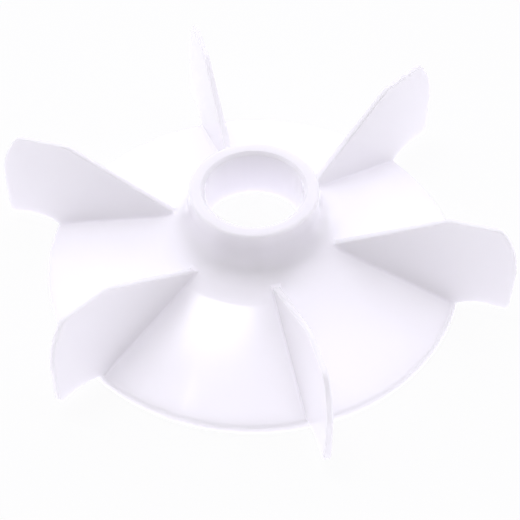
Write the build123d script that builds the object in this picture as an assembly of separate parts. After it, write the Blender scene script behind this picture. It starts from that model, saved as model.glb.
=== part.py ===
"""Moulded cooling fan: a flared hub on a conical disc that carries six flat radial blades.

Millimetres, +Z up along the shaft. The origin is on the axis, in the plane of the disc's rim.
"""
import os
from math import asin, atan, cos, degrees, radians, sin, sqrt, tan

from build123d import *

# Hub: a tube for the shaft that flares out into the disc
BORE_RADIUS = 22.5
BORE_LENGTH = 27.0
BORE_CHAMFER = 1.5
HUB_WALL = 6.9
HUB_HEIGHT = 53.0
HUB_EDGE = 1.0
COLLAR_DRAFT = 2.0
NECK_DROP = 23.7
FLARE_RADIUS = 23.5

# Disc: a shallow cone of even wall, with a short lip turned down at its edge
DISC_RADIUS = 96.5
DISC_EDGE_HEIGHT = 4.4
DISC_WALL = 3.0
LIP_WALL = 2.6
SHOULDER_RADIUS = 2.4

# Blades: flat, in planes through the axis, reaching out past the disc
BLADE_COUNT = 6
TIP_RADIUS = 121.0
BLADE_TOP = 56.8
TOP_LENGTH = 23.7
KNEE_RADIUS = 7.0
ROOT_HEIGHT = 23.4
TIP_ARC_RADIUS = 41.0
TIP_ARC_FOOT = 31.0
CORNER_RADIUS = 4.0
HEEL_INSET = 0.8
HEEL_HEIGHT = 6.0
HEEL_RADIUS = 3.0
HEEL_ARC_ANGLE = 38.0
BLADE_FOOT = 3.2
BLADE_TOP_THICKNESS = 2.6
BLADE_BASE_THICKNESS = 3.8
BLADE_EDGE = 0.5

# Underside: a groove cored out round the hub tube, bridged by a rib under each blade
CORE_DRAFT = 1.5
GROOVE_EDGE = 1.0
RIB_THICKNESS = 2.4

COLLAR_RADIUS = BORE_RADIUS + HUB_WALL
BORE_FOOT = HUB_HEIGHT - BORE_LENGTH
PITCH = 360 / BLADE_COUNT


def polygon(*points):
    """Flat face with straight sides through points given as radius and height."""
    return make_face(Polyline(*points, close=True))


def corner_near(face, point):
    """The corner of a flat face that lies nearest to a point."""
    return face.vertices().sort_by_distance(Vector(*point))[0]


def turned(face):
    """Solid of revolution from a face given as radius and height, its seam halfway between two blades."""
    return Rot(0, 0, PITCH / 2) * revolve(Plane.XZ * face, Axis.Z)


def disc_slope():
    """Rise of the disc for each millimetre inward, from its edge up to the neck under the collar."""
    neck_radius = COLLAR_RADIUS + NECK_DROP * tan(radians(COLLAR_DRAFT))
    return (HUB_HEIGHT - NECK_DROP - DISC_EDGE_HEIGHT) / (DISC_RADIUS - neck_radius)


def neck_corner(depth=0.0):
    """Where the collar's side would meet the disc's slope, at a depth below the outer skin."""
    collar_slope = tan(radians(COLLAR_DRAFT))
    inward = depth / cos(radians(COLLAR_DRAFT))
    down = depth / cos(atan(disc_slope()))
    sink = (down - inward * disc_slope()) / (1 - collar_slope * disc_slope())
    radius = COLLAR_RADIUS + (NECK_DROP + sink) * collar_slope - inward
    return radius, HUB_HEIGHT - NECK_DROP - sink


def outer_form():
    """Everything inside the upper skin: collar, flare, cone, shoulder and lip, without the hollow."""
    neck = neck_corner()
    rim = (COLLAR_RADIUS, HUB_HEIGHT)
    shoulder = (DISC_RADIUS, DISC_EDGE_HEIGHT)
    face = polygon((0, 0), (DISC_RADIUS, 0), shoulder, neck, rim, (0, HUB_HEIGHT))
    face = fillet(corner_near(face, neck), FLARE_RADIUS)
    face = fillet(corner_near(face, shoulder), SHOULDER_RADIUS)
    return turned(chamfer(corner_near(face, rim), HUB_EDGE))


def hub_tube_face():
    """Half section of the tube round the shaft, out to its drafted outer side."""
    foot_radius = COLLAR_RADIUS - BORE_LENGTH * tan(radians(CORE_DRAFT))
    return polygon((0, BORE_FOOT), (foot_radius, BORE_FOOT), (COLLAR_RADIUS, HUB_HEIGHT), (0, HUB_HEIGHT))


def underside_hollow():
    """The space under the disc, and the groove that runs up round the hub tube."""
    neck = neck_corner(DISC_WALL)
    collar_inner = neck[0] - (HUB_HEIGHT - neck[1]) * tan(radians(COLLAR_DRAFT))
    lip_radius = DISC_RADIUS - LIP_WALL
    lip_top = neck[1] - (lip_radius - neck[0]) * disc_slope()
    upper = [neck, (collar_inner, HUB_HEIGHT), (0, HUB_HEIGHT)]
    face = polygon((0, 0), (lip_radius, 0), (lip_radius, lip_top), *upper)
    face = fillet(corner_near(face, neck), FLARE_RADIUS + DISC_WALL)
    face = (face - hub_tube_face()).faces().sort_by(Axis.X)[-1]
    groove_top = face.vertices().sort_by(Axis.Y)[-1]
    return turned(chamfer(groove_top, GROOVE_EDGE))


def blade_outline():
    """Side view of a blade as radius and height, from inside the hub out to the tip."""
    arc_centre = (TIP_RADIUS - TIP_ARC_RADIUS, TIP_ARC_FOOT)
    arc_rise = BLADE_TOP - TIP_ARC_FOOT
    corner = (arc_centre[0] + sqrt(TIP_ARC_RADIUS**2 - arc_rise**2), BLADE_TOP)
    knee = (corner[0] - TOP_LENGTH, BLADE_TOP)
    foot = (DISC_RADIUS - LIP_WALL, BLADE_FOOT)
    heel = (TIP_RADIUS - HEEL_INSET, HEEL_HEIGHT)
    tip_arc = CenterArc(arc_centre, TIP_ARC_RADIUS, 0, degrees(asin(arc_rise / TIP_ARC_RADIUS)))
    top = Polyline(corner, knee, (COLLAR_RADIUS, ROOT_HEIGHT), (COLLAR_RADIUS, BLADE_FOOT), foot)
    leaving = (cos(radians(HEEL_ARC_ANGLE)), sin(radians(HEEL_ARC_ANGLE)))
    heel_arc = TangentArc(foot, heel, tangent=leaving)
    tip_side = Line(heel, (TIP_RADIUS, TIP_ARC_FOOT))
    face = make_face([tip_arc, top, heel_arc, tip_side])
    face = fillet(corner_near(face, knee), KNEE_RADIUS)
    face = fillet(corner_near(face, corner), CORNER_RADIUS)
    return fillet(corner_near(face, heel), HEEL_RADIUS)


def blade():
    """One blade on the +X side, thicker at its foot for the mould's draft, with its free edges eased."""
    taper = (BLADE_BASE_THICKNESS - BLADE_TOP_THICKNESS) / BLADE_TOP
    above = BLADE_TOP + BLADE_TOP_THICKNESS
    half_base = BLADE_BASE_THICKNESS / 2
    half_above = (BLADE_BASE_THICKNESS - taper * above) / 2
    section = polygon((-half_base, 0), (half_base, 0), (half_above, above), (-half_above, above))
    wedge = extrude(Plane.YZ * section, TIP_RADIUS + BLADE_BASE_THICKNESS)
    plate = extrude(Plane.XZ * blade_outline(), BLADE_BASE_THICKNESS, both=True)
    solid = plate & wedge
    sides = solid.faces().sort_by(SortBy.AREA)[-2:]
    return chamfer(sides.edges().filter_by(is_free), BLADE_EDGE)


def is_free(edge):
    """Whether an edge of the blade's outline shows, not counting those inside the hub and disc."""
    middle = edge.position_at(0.5)
    in_hub = abs(middle.X - COLLAR_RADIUS) < 0.01
    in_disc = middle.X < DISC_RADIUS and middle.Z < BLADE_FOOT + 0.01
    return not in_hub and not in_disc


def ribs():
    """Thin radial plates, in line with the blades, that stay standing in the groove."""
    length = COLLAR_RADIUS + FLARE_RADIUS
    plate = Box(length, RIB_THICKNESS, BORE_LENGTH, align=(Align.MIN, Align.CENTER, Align.MIN))
    return [place * Pos(0, 0, BORE_FOOT) * plate for place in PolarLocations(0, BLADE_COUNT)]


def bore():
    """The plain hole for the shaft, eased at both mouths, as one turned space."""
    mouth = BORE_RADIUS + BORE_CHAMFER
    lower = [(0, BORE_FOOT), (mouth, BORE_FOOT), (BORE_RADIUS, BORE_FOOT + BORE_CHAMFER)]
    upper = [(BORE_RADIUS, HUB_HEIGHT - BORE_CHAMFER), (mouth, HUB_HEIGHT), (0, HUB_HEIGHT)]
    return turned(polygon(*lower, *upper))


def impeller():
    """The whole moulding as one solid."""
    blades = [place * blade() for place in PolarLocations(0, BLADE_COUNT)]
    hollow = underside_hollow() - ribs()
    return outer_form() + blades - hollow - bore()


if __name__ == "__main__":
    os.makedirs("parts", exist_ok=True)
    fan = impeller()
    fan.label = "impeller"
    export_step(fan, "parts/impeller.step")
    print("solids", len(fan.solids()), "volume", round(fan.volume), "mm3")
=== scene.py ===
from math import asin, atan2, cos, hypot, pi, radians, sin, sqrt, tan

import bmesh
import bpy
from mathutils import Matrix, Vector


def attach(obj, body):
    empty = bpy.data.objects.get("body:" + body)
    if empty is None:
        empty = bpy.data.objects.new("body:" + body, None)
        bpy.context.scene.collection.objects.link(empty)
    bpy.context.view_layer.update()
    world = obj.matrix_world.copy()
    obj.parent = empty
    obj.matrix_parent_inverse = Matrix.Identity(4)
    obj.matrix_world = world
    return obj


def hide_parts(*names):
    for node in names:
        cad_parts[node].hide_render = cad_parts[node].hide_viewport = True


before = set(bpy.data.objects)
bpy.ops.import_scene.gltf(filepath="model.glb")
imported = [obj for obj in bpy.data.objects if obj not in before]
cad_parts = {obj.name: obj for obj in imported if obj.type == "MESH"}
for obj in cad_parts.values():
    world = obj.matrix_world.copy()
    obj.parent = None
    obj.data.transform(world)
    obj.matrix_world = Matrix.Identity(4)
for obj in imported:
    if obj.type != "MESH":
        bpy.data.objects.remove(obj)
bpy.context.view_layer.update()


# The camera: it looks down on the wheel from the front at a little under 50 degrees, with a long
# lens from about three quarters of a metre, so that the hub's bore reads as a tilted ring.
CAMERA_AZIMUTH = radians(14.63)
CAMERA_ELEVATION = radians(48.19)
CAMERA_ROLL = radians(0.38)
CAMERA_DISTANCE = 0.7386
CAMERA_RIGHT = 0.0027
CAMERA_UP = -0.03207
CAMERA_NEAR = 0.01
AIM_HEIGHT = 0.053
SENSOR_WIDTH = 36.0
FOCAL_LENGTH = 114.2

level_right = Vector((cos(CAMERA_AZIMUTH), sin(CAMERA_AZIMUTH), 0))
level_back = Vector((sin(CAMERA_AZIMUTH), -cos(CAMERA_AZIMUTH), 0))
backward = cos(CAMERA_ELEVATION) * level_back + Vector((0, 0, sin(CAMERA_ELEVATION)))
level_up = backward.cross(level_right)
right = cos(CAMERA_ROLL) * level_right + sin(CAMERA_ROLL) * level_up
up = cos(CAMERA_ROLL) * level_up - sin(CAMERA_ROLL) * level_right

camera = bpy.data.objects.new("camera", bpy.data.cameras.new("camera"))
camera.data.sensor_width = SENSOR_WIDTH
camera.data.lens = FOCAL_LENGTH
camera.data.clip_start = CAMERA_NEAR
place = Vector((0, 0, AIM_HEIGHT)) + CAMERA_DISTANCE * backward + CAMERA_RIGHT * right + CAMERA_UP * up
camera.matrix_world = Matrix.Translation(place) @ Matrix((right, up, backward)).transposed().to_4x4()
bpy.context.scene.collection.objects.link(camera)
bpy.context.scene.camera = camera


# The hub and disc: one turned skin of moulded plastic. A tube for the shaft flares out into a
# shallow cone, which ends in a short lip turned down. The underside is cored out to an even wall.
# The sizes of the moulding are in millimetres.
BORE_RADIUS = 22.5
BORE_LENGTH = 27.0
BORE_CHAMFER = 1.5
HUB_WALL = 6.9
HUB_HEIGHT = 53.0
HUB_EDGE_RADIUS = 1.3
HUB_EDGE_STEPS = 5
COLLAR_DRAFT = radians(2.0)
NECK_DROP = 23.7
FLARE_RADIUS = 23.5
FLARE_STEPS = 20
DISC_RADIUS = 96.5
DISC_EDGE_HEIGHT = 4.4
DISC_WALL = 3.0
LIP_WALL = 2.6
CONE_ROWS = 8
SHOULDER_RADIUS = 2.4
SHOULDER_STEPS = 3
LIP_EDGE_RADIUS = 0.4
LIP_EDGE_STEPS = 3
LIP_CORNER_RADIUS = 1.0
LIP_CORNER_STEPS = 4
HOLLOW_STEPS = 24
GROOVE_RADIUS = 0.7
GROOVE_STEPS = 4
GROOVE_ROOM = 3
TUBE_EDGE_RADIUS = 0.5
TUBE_EDGE_STEPS = 3
CORE_DRAFT = radians(1.5)

COLLAR_RADIUS = BORE_RADIUS + HUB_WALL
BORE_FOOT = HUB_HEIGHT - BORE_LENGTH
NECK = Vector((COLLAR_RADIUS + NECK_DROP * tan(COLLAR_DRAFT), HUB_HEIGHT - NECK_DROP))
SHOULDER = Vector((DISC_RADIUS, DISC_EDGE_HEIGHT))


def arc(centre, radius, start, end, steps):
    """Points on a circle from one angle to another, both ends included."""
    angles = [start + (end - start) * i / steps for i in range(steps + 1)]
    return [Vector((centre[0] + radius * cos(a), centre[1] + radius * sin(a))) for a in angles]


def eased(before, corner, after, radius, steps):
    """Points of the round that replaces the corner between two straight lines."""
    to_before = (Vector(before) - Vector(corner)).normalized()
    to_after = (Vector(after) - Vector(corner)).normalized()
    half = to_before.angle(to_after) / 2
    centre = Vector(corner) + (to_before + to_after).normalized() * radius / sin(half)
    first = Vector(corner) + to_before * radius / tan(half) - centre
    last = Vector(corner) + to_after * radius / tan(half) - centre
    start = atan2(first.y, first.x)
    sweep = (atan2(last.y, last.x) - start + pi) % (2 * pi) - pi
    return arc(centre, radius, start, start + sweep, steps)


def meeting(path, gap):
    """The first point along a path where a signed gap changes sign, and its place in the path."""
    for i in range(len(path) - 1):
        a, b = gap(path[i]), gap(path[i + 1])
        if a * b <= 0:
            return path[i].lerp(path[i + 1], a / (a - b)), i + 1
    raise ValueError("the path doesn't cross")


def divided(a, b, parts):
    """The points that divide a straight stretch, without its two ends."""
    return [Vector(a).lerp(Vector(b), i / parts) for i in range(1, parts)]


def neck_corner(depth):
    """Where the collar's side and the disc's slope meet, at a depth below the skin, and that slope."""
    slope = (NECK - SHOULDER).y / (SHOULDER - NECK).x
    inward = depth / cos(COLLAR_DRAFT)
    down = depth * hypot(1, slope)
    sink = (down - inward * slope) / (1 - tan(COLLAR_DRAFT) * slope)
    return Vector((NECK.x - inward + sink * tan(COLLAR_DRAFT), NECK.y - sink)), slope


def outer_skin():
    """The upper side as radius and height, from the hub's rim out and down to the lip's foot."""
    rim = Vector((COLLAR_RADIUS, HUB_HEIGHT))
    lip_foot = Vector((DISC_RADIUS, 0))
    path = eased((0, HUB_HEIGHT), rim, NECK, HUB_EDGE_RADIUS, HUB_EDGE_STEPS)
    path += eased(rim, NECK, SHOULDER, FLARE_RADIUS, FLARE_STEPS)
    shoulder = eased(NECK, SHOULDER, lip_foot, SHOULDER_RADIUS, SHOULDER_STEPS)
    path += divided(path[-1], shoulder[0], CONE_ROWS) + shoulder
    return path + eased(SHOULDER, lip_foot, (0, 0), LIP_EDGE_RADIUS, LIP_EDGE_STEPS)


def outside_tube(point):
    """How far a point lies outside the drafted side of the hub tube."""
    return point.x - COLLAR_RADIUS + (HUB_HEIGHT - point.y) * tan(CORE_DRAFT)


def underside():
    """The lower side as radius and height, from the lip's foot in and over the groove to the tube."""
    neck, slope = neck_corner(DISC_WALL)
    lip_radius = DISC_RADIUS - LIP_WALL
    lip_foot = Vector((lip_radius, 0))
    lip_top = Vector((lip_radius, neck.y - (lip_radius - neck.x) * slope))
    collar_inner = neck + Vector((-tan(COLLAR_DRAFT), 1)) * (HUB_HEIGHT - neck.y)
    flare = eased(lip_top, neck, collar_inner, FLARE_RADIUS + DISC_WALL, HOLLOW_STEPS)
    groove_top, count = meeting(flare + [collar_inner], outside_tube)
    tube_foot = Vector((COLLAR_RADIUS - BORE_LENGTH * tan(CORE_DRAFT), BORE_FOOT))
    path = eased((DISC_RADIUS, 0), lip_foot, lip_top, LIP_EDGE_RADIUS, LIP_EDGE_STEPS)
    path += eased(lip_foot, lip_top, neck, LIP_CORNER_RADIUS, LIP_CORNER_STEPS)
    path += divided(path[-1], flare[0], CONE_ROWS) + flare[:count - GROOVE_ROOM]
    path += eased(path[-1], groove_top, tube_foot, GROOVE_RADIUS, GROOVE_STEPS)
    return path + eased(groove_top, tube_foot, (0, BORE_FOOT), TUBE_EDGE_RADIUS, TUBE_EDGE_STEPS)


def shaft_bore():
    """The bore as radius and height, from its lower mouth up to the upper one, chamfered at both."""
    mouth = BORE_RADIUS + BORE_CHAMFER
    lower_mouth = [Vector((mouth, BORE_FOOT)), Vector((BORE_RADIUS, BORE_FOOT + BORE_CHAMFER))]
    return lower_mouth + [Vector((BORE_RADIUS, HUB_HEIGHT - BORE_CHAMFER)), Vector((mouth, HUB_HEIGHT))]


# Where the blades and ribs stand on that skin. The two rows of points that bound a blade, and the
# two that bound a rib in the groove, are put into the section before it is turned.
BLADE_COUNT = 6
TIP_RADIUS = 121.0
BLADE_TOP = 56.8
TOP_LENGTH = 23.7
KNEE_RADIUS = 7.0
KNEE_STEPS = 6
ROOT_HEIGHT = 23.4
CORNER_RADIUS = 4.0
CORNER_STEPS = 4
TIP_ARC_RADIUS = 41.0
TIP_ARC_FOOT = 31.0
TIP_ARC_STEPS = 14
HEEL_INSET = 0.8
HEEL_HEIGHT = 6.0
HEEL_RADIUS = 3.0
HEEL_STEPS = 6
HEEL_ARC_ANGLE = radians(38.0)
HEEL_ARC_STEPS = 14
BLADE_FOOT = 3.2
BLADE_TOP_THICKNESS = 2.6
BLADE_BASE_THICKNESS = 3.8
RIB_THICKNESS = 2.4
CLOSEST_ROWS = 0.45

TIP_CENTRE = Vector((TIP_RADIUS - TIP_ARC_RADIUS, TIP_ARC_FOOT))
CORNER_RISE = BLADE_TOP - CORNER_RADIUS - TIP_ARC_FOOT
CORNER_REACH = sqrt((TIP_ARC_RADIUS - CORNER_RADIUS) ** 2 - CORNER_RISE ** 2)
CORNER_CENTRE = TIP_CENTRE + Vector((CORNER_REACH, CORNER_RISE))
TOP_END = TIP_CENTRE.x + sqrt(TIP_ARC_RADIUS ** 2 - (BLADE_TOP - TIP_ARC_FOOT) ** 2)
KNEE = Vector((TOP_END - TOP_LENGTH, BLADE_TOP))
TOP_ROOT = Vector((COLLAR_RADIUS, ROOT_HEIGHT))
HEEL = Vector((TIP_RADIUS - HEEL_INSET, HEEL_HEIGHT))
HEEL_START = Vector((DISC_RADIUS - LIP_WALL, BLADE_FOOT))
HEEL_CHORD = HEEL - HEEL_START
HEEL_TURN = HEEL_ARC_ANGLE - atan2(HEEL_CHORD.y, HEEL_CHORD.x)
HEEL_ARC_RADIUS = HEEL_CHORD.length / (2 * sin(HEEL_TURN))
HEEL_CENTRE = HEEL_START + HEEL_ARC_RADIUS * Vector((sin(HEEL_ARC_ANGLE), -cos(HEEL_ARC_ANGLE)))


def with_row(path, gap, after=0):
    """The path with a point where a signed gap changes sign, and the place of that point in it.

    The next point makes way for it where the two would be too close.
    """
    point, at = meeting(path[after:], gap)
    at += after
    close = (path[at] - point).length < CLOSEST_ROWS
    return path[:at] + [point] + path[at + close:], at


def above_top_edge(point):
    """How far a point lies above the blade's sloping top edge."""
    run = (KNEE - TOP_ROOT).normalized()
    return (point - TOP_ROOT).dot(Vector((-run.y, run.x)))


def outside_heel_arc(point):
    """How far a point lies outside the circle of the blade's arched heel."""
    return (point - HEEL_CENTRE).length - HEEL_ARC_RADIUS


def above_tube_foot(point):
    """How far a point lies above the foot of the hub tube."""
    return point.y - BORE_FOOT


skin, root_row = with_row(outer_skin(), above_top_edge)
skin, heel_row = with_row(skin, outside_heel_arc, root_row)
lower, rib_row = with_row(underside(), above_tube_foot)
rib_row += len(skin)
tube_row = len(skin) + len(lower) - 1
section = skin + lower + shaft_bore()


# The turned body of the moulding: the section goes once round the shaft's axis. Its columns of
# faces are as wide as a blade at each of the six blades, and the rest is shared out between them.
PITCH = 2 * pi / BLADE_COUNT
COLUMNS = 30
COLUMN_COUNT = BLADE_COUNT * COLUMNS
LAND = 2.4

bm = bmesh.new()
row = bm.verts.layers.int.new("row")
column = bm.verts.layers.int.new("column")
points = [bm.verts.new((p.x, 0, p.y)) for p in section]
for i, point in enumerate(points):
    point[row] = i
outline = [bm.edges.new((points[i - 1], points[i])) for i in range(len(points))]
bmesh.ops.spin(bm, geom=points + outline, axis=(0, 0, 1), cent=(0, 0, 0), dvec=(0, 0, 0),
               angle=2 * pi, steps=COLUMN_COUNT, use_merge=True)


def half_thickness(height):
    """Half a blade's thickness at a height: it is drafted, so it thins towards its top."""
    taper = (BLADE_BASE_THICKNESS - BLADE_TOP_THICKNESS) / BLADE_TOP
    return (BLADE_BASE_THICKNESS - taper * height) / 2


def column_angle(place, radius, half):
    """Angle of a column from its blade's mid-plane: one on each side of it, a land, and even steps."""
    side = asin(half / radius)
    if place < 2:
        return (-side, side)[place]
    land = side + LAND / radius
    return land + (PITCH - 2 * land) * (place - 2) / (COLUMNS - 3)


for v in bm.verts:
    turn = round(atan2(v.co.y, v.co.x) / (2 * pi) * COLUMN_COUNT) % COLUMN_COUNT
    v[column] = turn
    radius = hypot(v.co.x, v.co.y)
    half = half_thickness(v.co.z) if v[row] < len(skin) else RIB_THICKNESS / 2
    angle = turn // COLUMNS * PITCH + column_angle(turn % COLUMNS, radius, half)
    v.co.x, v.co.y = radius * cos(angle), radius * sin(angle)

grid = {(v[row], v[column]): v for v in bm.verts}


def pair(place, blade):
    """The two points, one on each side of a blade, in one row of the section."""
    return [grid[place, blade * COLUMNS + side] for side in (0, 1)]


def open_skin(first, last, blade):
    """Takes out the faces between a blade's two columns, from one row of the section to another."""
    inside = {v for place in range(first, last + 1) for v in pair(place, blade)}
    faces = [f for f in bm.faces if inside.issuperset(f.verts)]
    bmesh.ops.delete(bm, geom=faces, context="FACES_ONLY")


# The blades: six flat plates moulded in one with the disc, in planes through the axis. The skin
# opens where a blade stands, and its edge runs round the blade's outline. Each edge is marked with
# the size of its round, as a share of the fillet along the blade's foot.
def blade_outline():
    """A blade's free outline as radius and height, from its root out to the tip and back to the lip."""
    reach = HEEL_ARC_RADIUS + HEEL_RADIUS
    tip_top = Vector((TIP_RADIUS, TIP_ARC_FOOT))
    down = (HEEL - tip_top).normalized()
    inward = Vector((down.y, -down.x))
    beside = tip_top + HEEL_RADIUS * inward - HEEL_CENTRE
    along = -beside.dot(down) - sqrt(beside.dot(down) ** 2 - beside.length_squared + reach ** 2)
    heel_round = HEEL_CENTRE + beside + along * down
    corner_end = atan2(CORNER_RISE, CORNER_REACH)
    out = atan2(-inward.y, -inward.x)
    back = atan2((HEEL_CENTRE - heel_round).y, (HEEL_CENTRE - heel_round).x)
    leaves = atan2((heel_round - HEEL_CENTRE).y, (heel_round - HEEL_CENTRE).x)
    meets = atan2((section[heel_row] - HEEL_CENTRE).y, (section[heel_row] - HEEL_CENTRE).x)
    path = eased(TOP_ROOT, KNEE, (TOP_END, BLADE_TOP), KNEE_RADIUS, KNEE_STEPS)
    path += arc(CORNER_CENTRE, CORNER_RADIUS, pi / 2, corner_end, CORNER_STEPS)
    path += arc(TIP_CENTRE, TIP_ARC_RADIUS, corner_end, 0, TIP_ARC_STEPS)[1:]
    path += arc(heel_round, HEEL_RADIUS, out, back, HEEL_STEPS)
    return path + arc(HEEL_CENTRE, HEEL_ARC_RADIUS, leaves, meets, HEEL_ARC_STEPS)[1:-1]


def on_blade(point, side, turn):
    """A point of a blade's outline on one of its two sides, turned to its place round the axis."""
    return Matrix.Rotation(turn, 3, "Z") @ Vector((point.x, side * half_thickness(point.y), point.y))


SEAM_SHARE = 1.0
FREE_EDGE_SHARE = 0.7
HEEL_SHARE = 0.5
ease = bm.edges.layers.float.new("bevel_weight_edge")

for blade in range(BLADE_COUNT):
    open_skin(root_row, heel_row, blade)
    root_ends, heel_ends = pair(root_row, blade), pair(heel_row, blade)
    ends = root_ends
    for point in blade_outline():
        made = bmesh.ops.extrude_edge_only(bm, edges=[bm.edges.get(ends)])["geom"]
        fresh = {g for g in made if isinstance(g, bmesh.types.BMVert)}
        ahead = [next(e.other_vert(v) for e in v.link_edges if e.other_vert(v) in fresh) for v in ends]
        for before, after, side in zip(ends, ahead, (-1, 1)):
            after.co = on_blade(point, side, blade * PITCH)
            bm.edges.get((before, after))[ease] = FREE_EDGE_SHARE
        ends = ahead
    bm.faces.new((ends[0], ends[1], heel_ends[1], heel_ends[0]))
    bm.edges.get(root_ends)[ease] = SEAM_SHARE
    bm.edges.get(heel_ends)[ease] = HEEL_SHARE
    for last, heel_end in zip(ends, heel_ends):
        bm.edges.get((last, heel_end))[ease] = FREE_EDGE_SHARE
    for place in range(root_row, heel_row):
        for seam in zip(pair(place, blade), pair(place + 1, blade)):
            bm.edges.get(seam)[ease] = SEAM_SHARE


# The ribs: six thin plates left standing in the groove on the underside, in line with the blades,
# which tie the hub tube to the disc. Their feet are level with the foot of the tube.
for blade in range(BLADE_COUNT):
    open_skin(rib_row, tube_row, blade)
    bm.faces.new(pair(rib_row, blade) + pair(tube_row, blade)[::-1])


# The whole moulding: the flat sides of the blades and ribs fill the gaps that are left, so that it
# is one closed skin. Small rounds run along the blades' feet and round their free edges.
MM = 0.001
ROOT_FILLET = 1.1
ROUND_SEGMENTS = 4
SHARP = radians(35)
FACE_WEIGHT = 50

bmesh.ops.edgeloop_fill(bm, edges=[e for e in bm.edges if len(e.link_faces) == 1])
bmesh.ops.delete(bm, geom=[e for e in bm.edges if e.is_wire], context="EDGES")
bmesh.ops.recalc_face_normals(bm, faces=bm.faces)
bmesh.ops.scale(bm, vec=(MM, MM, MM), verts=bm.verts)
for face in bm.faces:
    face.smooth = True
for edge in bm.edges:
    edge.smooth = edge[ease] > 0 or edge.calc_face_angle() < SHARP
moulding = bpy.data.objects.new("moulding", bpy.data.meshes.new("moulding"))
bm.to_mesh(moulding.data)
bm.free()
bpy.context.scene.collection.objects.link(moulding)

rounds = moulding.modifiers.new("rounds", "BEVEL")
rounds.limit_method = "WEIGHT"
rounds.width = ROOT_FILLET * MM
rounds.segments = ROUND_SEGMENTS
rounds.use_clamp_overlap = False
flats = moulding.modifiers.new("flats", "WEIGHTED_NORMAL")
flats.mode = "FACE_AREA"
flats.weight = FACE_WEIGHT
flats.keep_sharp = True


# The finish: a white plastic that lets a little light in under its skin, moulded against a
# polished steel tool. It is glossy, with a faint cloudy flow in its tint and gloss, a fine grain
# and a slight waviness, which soften the outline of what it reflects.
PLASTIC = (0.88, 0.869, 0.9, 1)
PLASTIC_WARM = (0.888, 0.878, 0.9, 1)
PLASTIC_IOR = 1.49
ROUGHNESS = 0.09
ROUGHNESS_FLOW = 0.04
LIGHT_DEPTH = 0.006
FLOW_SCALE = 38.0
FLOW_DETAIL = 3.0
FLOW_ROUGHNESS = 0.55
GRAIN_SCALE = 2600.0
GRAIN_DETAIL = 2.0
GRAIN_HEIGHT = 0.000003
WAVE_SCALE = 30.0
WAVE_DETAIL = 1.0
WAVE_HEIGHT = 0.00012
RELIEF = 0.5


class Wire:
    """A shader socket that takes part in arithmetic like a number."""

    def __init__(self, tree, socket=None):
        self.tree = tree
        self.socket = socket

    def node(self, kind, settings, sockets, output=0):
        """A new node: its settings are made first, then its sockets get their values or wires."""
        made = self.tree.nodes.new(kind)
        for name, value in settings.items():
            setattr(made, name, value)
        for name, value in sockets.items():
            if isinstance(value, Wire):
                self.tree.links.new(value.socket, made.inputs[name])
            else:
                made.inputs[name].default_value = value
        return Wire(self.tree, made.outputs[output] if made.outputs else None)

    def maths(self, operation, first, second):
        """A Math node that works on two sockets, or on a socket and a number."""
        return self.node("ShaderNodeMath", {"operation": operation}, {0: first, 1: second})

    def __add__(self, other):
        return self.maths("ADD", self, other)

    def __radd__(self, other):
        return self.maths("ADD", other, self)

    def __mul__(self, other):
        return self.maths("MULTIPLY", self, other)

    def __rmul__(self, other):
        return self.maths("MULTIPLY", other, self)


plastic = bpy.data.materials.new("glossy_white_plastic")
plastic.use_nodes = True
plastic.node_tree.nodes.clear()
start = Wire(plastic.node_tree)
where = start.node("ShaderNodeTexCoord", {}, {}, "Object")
flow = start.node("ShaderNodeTexNoise", {}, {
    "Vector": where, "Scale": FLOW_SCALE, "Detail": FLOW_DETAIL, "Roughness": FLOW_ROUGHNESS})
grain = start.node("ShaderNodeTexNoise", {}, {
    "Vector": where, "Scale": GRAIN_SCALE, "Detail": GRAIN_DETAIL})
wave = start.node("ShaderNodeTexNoise", {}, {
    "Vector": where, "Scale": WAVE_SCALE, "Detail": WAVE_DETAIL})
tint = start.node("ShaderNodeMix", {"data_type": "RGBA"}, {
    0: flow, 6: PLASTIC, 7: PLASTIC_WARM}, 2)
bumps = start.node("ShaderNodeBump", {}, {
    "Height": grain * GRAIN_HEIGHT + wave * WAVE_HEIGHT, "Strength": RELIEF, "Distance": 1.0})
surface = start.node("ShaderNodeBsdfPrincipled", {}, {
    "Base Color": tint,
    "Roughness": ROUGHNESS + ROUGHNESS_FLOW * flow,
    "Normal": bumps,
    "IOR": PLASTIC_IOR,
    "Subsurface Weight": 1.0,
    "Subsurface Radius": (1.0, 1.0, 1.0),
    "Subsurface Scale": LIGHT_DEPTH,
})
start.node("ShaderNodeOutputMaterial", {}, {"Surface": surface})
moulding.data.materials.append(plastic)
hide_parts("impeller")
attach(moulding, "root")


# The floor: a white paper sweep under the wheel, lit so that it shows white and still keeps a
# faint shadow. It lights the wheel from below, all but the ring of it that lies in the shade
# under the hub, and a little more through the bore.
FLOOR_SIZE = 6.0
FLOOR_WHITE = (0.86, 0.86, 0.87, 1)
WHITE = (1.0, 1.0, 1.0, 1)
FLOOR_GLOW = 0.91
FLOOR_LIGHT = 1.56
LIGHT_START = 0.45 * DISC_RADIUS * MM
LIGHT_FULL = 0.6 * DISC_RADIUS * MM
BORE_LIGHT = 0.9
BORE_LIGHT_FULL = 0.9 * BORE_RADIUS * MM
BORE_LIGHT_END = 1.3 * BORE_RADIUS * MM
ROOM_TINT = (0.925, 0.9, 1.0, 1)

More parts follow.
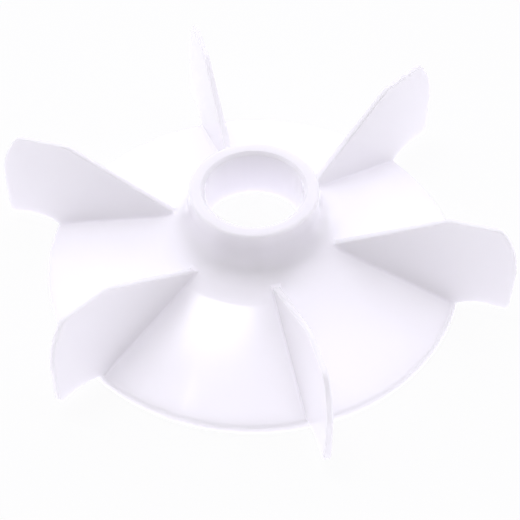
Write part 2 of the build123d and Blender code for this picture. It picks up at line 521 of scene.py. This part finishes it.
bm = bmesh.new()
bmesh.ops.create_grid(bm, x_segments=1, y_segments=1, size=FLOOR_SIZE / 2)
floor = bpy.data.objects.new("floor", bpy.data.meshes.new("floor"))
bm.to_mesh(floor.data)
bm.free()
bpy.context.scene.collection.objects.link(floor)
paper = bpy.data.materials.new("paper_sweep")
paper.use_nodes = True
paper.cycles.emission_sampling = "NONE"
paper.node_tree.nodes.clear()
start = Wire(paper.node_tree)
seen = start.node("ShaderNodeLightPath", {}, {}, "Is Camera Ray")
for ray in ("Is Glossy Ray", "Is Transmission Ray"):
    seen = seen + start.node("ShaderNodeLightPath", {}, {}, ray)
matt = start.node("ShaderNodeBsdfDiffuse", {}, {"Color": FLOOR_WHITE})
white = start.node("ShaderNodeEmission", {}, {"Color": WHITE, "Strength": 1.0})
looks = start.node("ShaderNodeMixShader", {}, {0: FLOOR_GLOW, 1: matt, 2: white})
where = start.node("ShaderNodeTexCoord", {}, {}, "Object")
reach = start.node("ShaderNodeVectorMath", {"operation": "LENGTH"}, {0: where}, "Value")
beyond = start.node("ShaderNodeMapRange", {"interpolation_type": "SMOOTHSTEP"}, {
    "Value": reach, "From Min": LIGHT_START, "From Max": LIGHT_FULL})
within = start.node("ShaderNodeMapRange", {"interpolation_type": "SMOOTHSTEP"}, {
    "Value": reach, "From Min": BORE_LIGHT_END, "From Max": BORE_LIGHT_FULL})
light = start.node("ShaderNodeEmission", {}, {
    "Color": ROOM_TINT, "Strength": FLOOR_LIGHT + BORE_LIGHT * within})
lit = start.node("ShaderNodeMixShader", {}, {0: beyond + within, 1: matt, 2: light})
both = start.node("ShaderNodeMixShader", {}, {0: seen, 1: lit, 2: looks})
start.node("ShaderNodeOutputMaterial", {}, {"Surface": both})
floor.data.materials.append(paper)


# The room: white walls and ceiling that light the wheel from all round. They are dimmer low down,
# and fade to a shade on the camera's side, so that the front of the hub and blades darkens a little.
ROOM_SHADE = (0.06, 0.06, 0.02, 1)
ROOM_LIGHT = 1.31
ROOM_LOW = 0.6
RISE_START = 0.1
RISE_FULL = 0.9
FADE_START = 0.1
FADE_FULL = 0.7

world = bpy.data.worlds.new("white_room")
world.use_nodes = True
world.node_tree.nodes.clear()
start = Wire(world.node_tree)
way = start.node("ShaderNodeTexCoord", {}, {}, "Generated")
height = start.node("ShaderNodeSeparateXYZ", {}, {0: way}, "Z")
rising = start.node("ShaderNodeMapRange", {"interpolation_type": "SMOOTHSTEP"}, {
    "Value": height, "From Min": RISE_START, "From Max": RISE_FULL, "To Min": ROOM_LOW, "To Max": 1.0})
toward = start.node("ShaderNodeVectorMath", {"operation": "DOT_PRODUCT"}, {
    0: way, 1: level_back}, "Value")
fading = start.node("ShaderNodeMapRange", {"interpolation_type": "SMOOTHSTEP"}, {
    "Value": toward, "From Min": FADE_START, "From Max": FADE_FULL, "To Min": 1.0, "To Max": 0.0})
shade = start.node("ShaderNodeMix", {"data_type": "RGBA"}, {
    0: rising * fading, 6: ROOM_SHADE, 7: ROOM_TINT}, 2)
room = start.node("ShaderNodeBackground", {}, {"Color": shade, "Strength": ROOM_LIGHT})
start.node("ShaderNodeOutputWorld", {}, {"Surface": room})
world.cycles.sampling_method = "NONE"
bpy.context.scene.world = world


# The lamps: an oval one overhead puts the one clear patch of light on the front of the disc. A
# small strip in front of it, at the same height, adds the faint streak below that patch.
OVAL_PLACE = (-0.245, 0.0, 1.25)
OVAL_LENGTH = 0.64
OVAL_WIDTH = 0.285
OVAL_POWER = 2.4
STRIP_PLACE = (-0.31, -0.21, 1.25)
STRIP_LENGTH = 0.06
STRIP_WIDTH = 0.04
STRIP_POWER = 0.028


def hang_lamp(name, shape, size_x, size_y, power, place):
    """Hangs a flat lamp level over the wheel, shining down."""
    lamp = bpy.data.lights.new(name, "AREA")
    lamp.shape = shape
    lamp.size, lamp.size_y = size_x, size_y
    lamp.energy = power
    hung = bpy.data.objects.new(name, lamp)
    hung.location = place
    bpy.context.scene.collection.objects.link(hung)


hang_lamp("oval_lamp", "ELLIPSE", OVAL_LENGTH, OVAL_WIDTH, OVAL_POWER, OVAL_PLACE)
hang_lamp("strip_lamp", "RECTANGLE", STRIP_WIDTH, STRIP_LENGTH, STRIP_POWER, STRIP_PLACE)

bpy.context.scene.view_settings.view_transform = "Standard"
